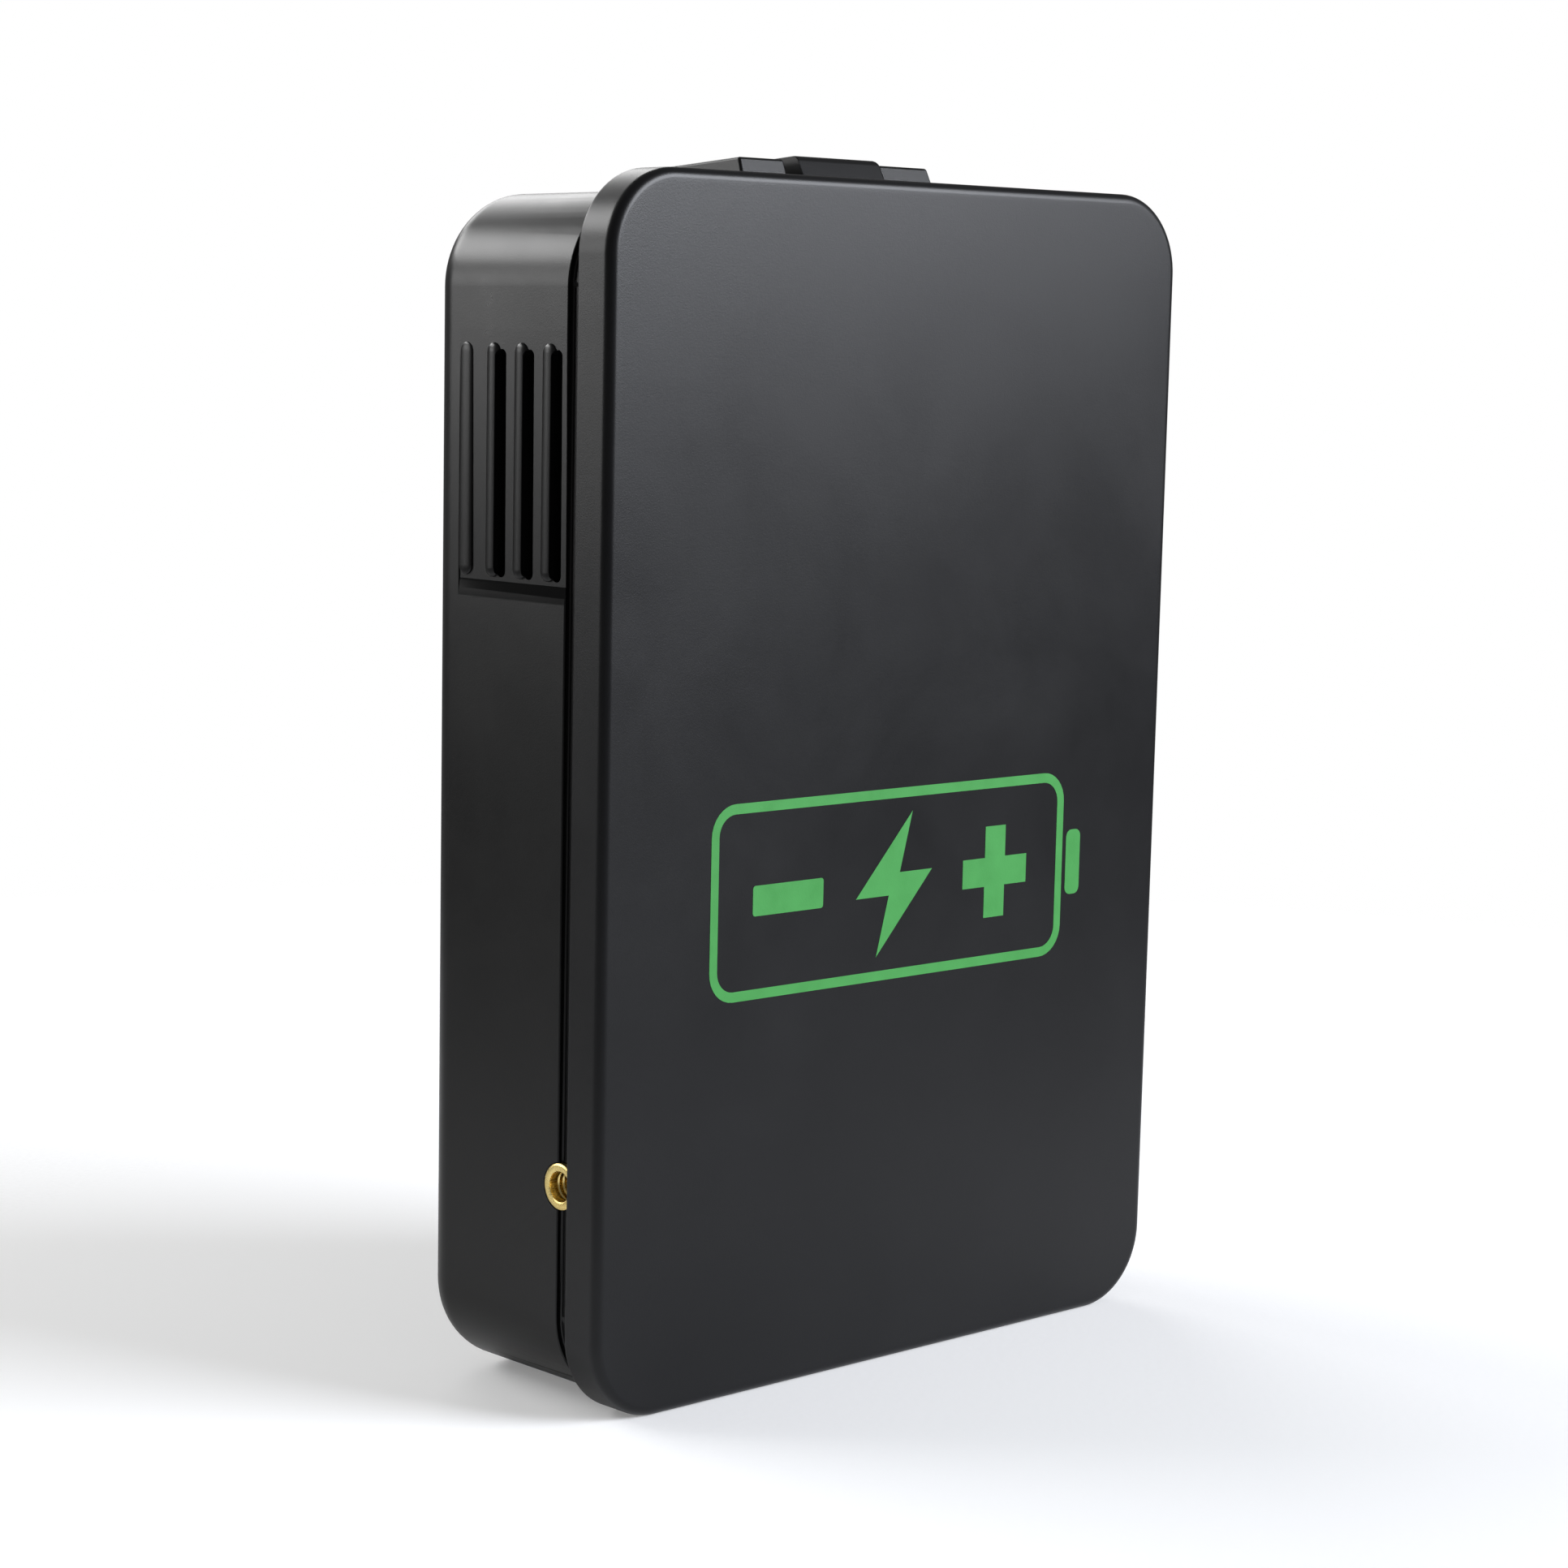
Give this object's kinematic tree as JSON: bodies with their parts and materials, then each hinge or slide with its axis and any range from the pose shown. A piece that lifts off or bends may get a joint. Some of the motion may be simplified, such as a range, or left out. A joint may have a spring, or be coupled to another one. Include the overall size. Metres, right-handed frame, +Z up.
{
  "type": "jump starter pack",
  "caption": "Upright slab-shaped car jump starter pack with a built-in tyre compressor: overhanging front cover, side vents, brass air outlet and a flap over the jump socket.",
  "frame": {"origin": "centre of the standing footprint on the floor: x and y are the middle of the overall box and z is 0 at its bottom", "axes": "+Z up along the pack's height, -Y out of the front cover, -X towards the side with the vents and the air outlet"},
  "size_m": [0.126, 0.044, 0.194],
  "materials": {
    "shell_plastic": "satin charcoal",
    "black_plastic": "matte black",
    "key_rubber": "matte",
    "cover_rubber": "matte",
    "foot_rubber": "matte",
    "hose_rubber": "satin",
    "brass": "turned",
    "bright_steel": "zinc plated",
    "port_steel": "pressed",
    "crank_steel": "sintered",
    "cast_alloy": "die cast",
    "board_green": "solder mask",
    "display_window": "clear dark",
    "display_panel": "display glass",
    "socket_blue": "moulded",
    "relay_blue": "moulded",
    "capacitor_sleeve": "shrink sleeve",
    "lens_clear": "clear",
    "reflector": "metallised",
    "lamp_board": "white",
    "cell_foil": "foil pouch",
    "lead_red": "satin",
    "lead_black": "satin"
  },
  "bodies": {
    "pack_body": {"front_cover": "shell_plastic", "rear_case": "shell_plastic", "cell_tray": "black_plastic", "motor_end_cap": "black_plastic", "power_button_switch": "black_plastic", "minus_button_switch": "black_plastic", "mode_button_switch": "black_plastic", "plus_button_switch": "black_plastic", "foot_left": "foot_rubber", "foot_right": "foot_rubber", "air_hose": "hose_rubber", "air_outlet_fitting": "brass", "air_outlet_nut": "brass", "jump_contact_positive": "brass", "jump_contact_negative": "brass", "case_screw_1": "bright_steel", "case_screw_2": "bright_steel", "case_screw_3": "bright_steel", "case_screw_4": "bright_steel", "head_screw_1": "bright_steel", "head_screw_2": "bright_steel", "jump_cover_pin": "bright_steel", "crank_shaft": "bright_steel", "motor_can": "bright_steel", "usb_a_socket": "port_steel", "usb_c_socket": "port_steel", "compressor_frame": "cast_alloy", "cylinder_head": "cast_alloy", "main_board": "board_green", "usb_board": "board_green", "battery_board": "board_green", "display_window": "display_window", "display_panel": "display_panel", "jump_socket_body": "socket_blue", "start_relay": "relay_blue", "smoothing_capacitor": "capacitor_sleeve", "lamp_lens": "lens_clear", "lamp_reflector": "reflector", "lamp_board": "lamp_board", "cell_1": "cell_foil", "cell_2": "cell_foil", "cell_3": "cell_foil", "cell_4": "cell_foil", "lead_positive": "lead_red", "lead_negative": "lead_black"},
    "jump_cover": {"jump_port_cover": "cover_rubber"},
    "usb_cover": {"usb_port_cover": "cover_rubber"},
    "power_key": {"power_button": "key_rubber"},
    "minus_key": {"minus_button": "key_rubber"},
    "mode_key": {"mode_button": "key_rubber"},
    "plus_key": {"plus_button": "key_rubber"},
    "rotor": {"motor_shaft": "bright_steel", "cooling_fan": "black_plastic", "pinion": "brass"},
    "crank": {"crank_gear": "crank_steel", "crank_pin": "bright_steel"},
    "piston_set": {"piston": "cast_alloy", "wrist_pin": "bright_steel"},
    "rod": {"connecting_rod": "cast_alloy"}
  },
  "joints": [
    {"name": "jump_cover_hinge", "type": "hinge", "parent": "pack_body", "child": "jump_cover", "pos_m": [0, 0.0146, 0.19], "axis": [-1, 0, 0], "range_deg": [0, 110]},
    {"name": "usb_cover_hinge", "type": "hinge", "parent": "pack_body", "child": "usb_cover", "pos_m": [0.062, -0.002, 0.1276], "axis": [0, 1, 0], "range_deg": [0, 100]},
    {"name": "power_key_press", "type": "slide", "parent": "pack_body", "child": "power_key", "axis": [0, -1, 0], "range_m": [0, 0.0008], "stiffness_N_per_m": 600},
    {"name": "minus_key_press", "type": "slide", "parent": "pack_body", "child": "minus_key", "axis": [0, -1, 0], "range_m": [0, 0.0008], "stiffness_N_per_m": 600},
    {"name": "mode_key_press", "type": "slide", "parent": "pack_body", "child": "mode_key", "axis": [0, -1, 0], "range_m": [0, 0.0008], "stiffness_N_per_m": 600},
    {"name": "plus_key_press", "type": "slide", "parent": "pack_body", "child": "plus_key", "axis": [0, -1, 0], "range_m": [0, 0.0008], "stiffness_N_per_m": 600},
    {"name": "crank_spin", "type": "hinge", "parent": "pack_body", "child": "crank", "pos_m": [-0.009, -0.003, 0.132], "axis": [1, 0, 0], "continuous": true},
    {"name": "rotor_spin", "type": "hinge", "parent": "pack_body", "child": "rotor", "pos_m": [-0.03, -0.003, 0.15], "axis": [1, 0, 0], "continuous": true},
    {"name": "piston_slide", "type": "slide", "parent": "pack_body", "child": "piston_set", "axis": [0, 0, 1], "range_m": [0, 0.01]},
    {"name": "rod_swing", "type": "hinge", "parent": "piston_set", "child": "rod", "pos_m": [-0.0005, -0.003, 0.103], "axis": [1, 0, 0], "range_deg": [-12, 12]}
  ],
  "couplings": [
    {"joint": "rotor_spin", "follows": "crank_spin", "ratio": -2.75}
  ]
}
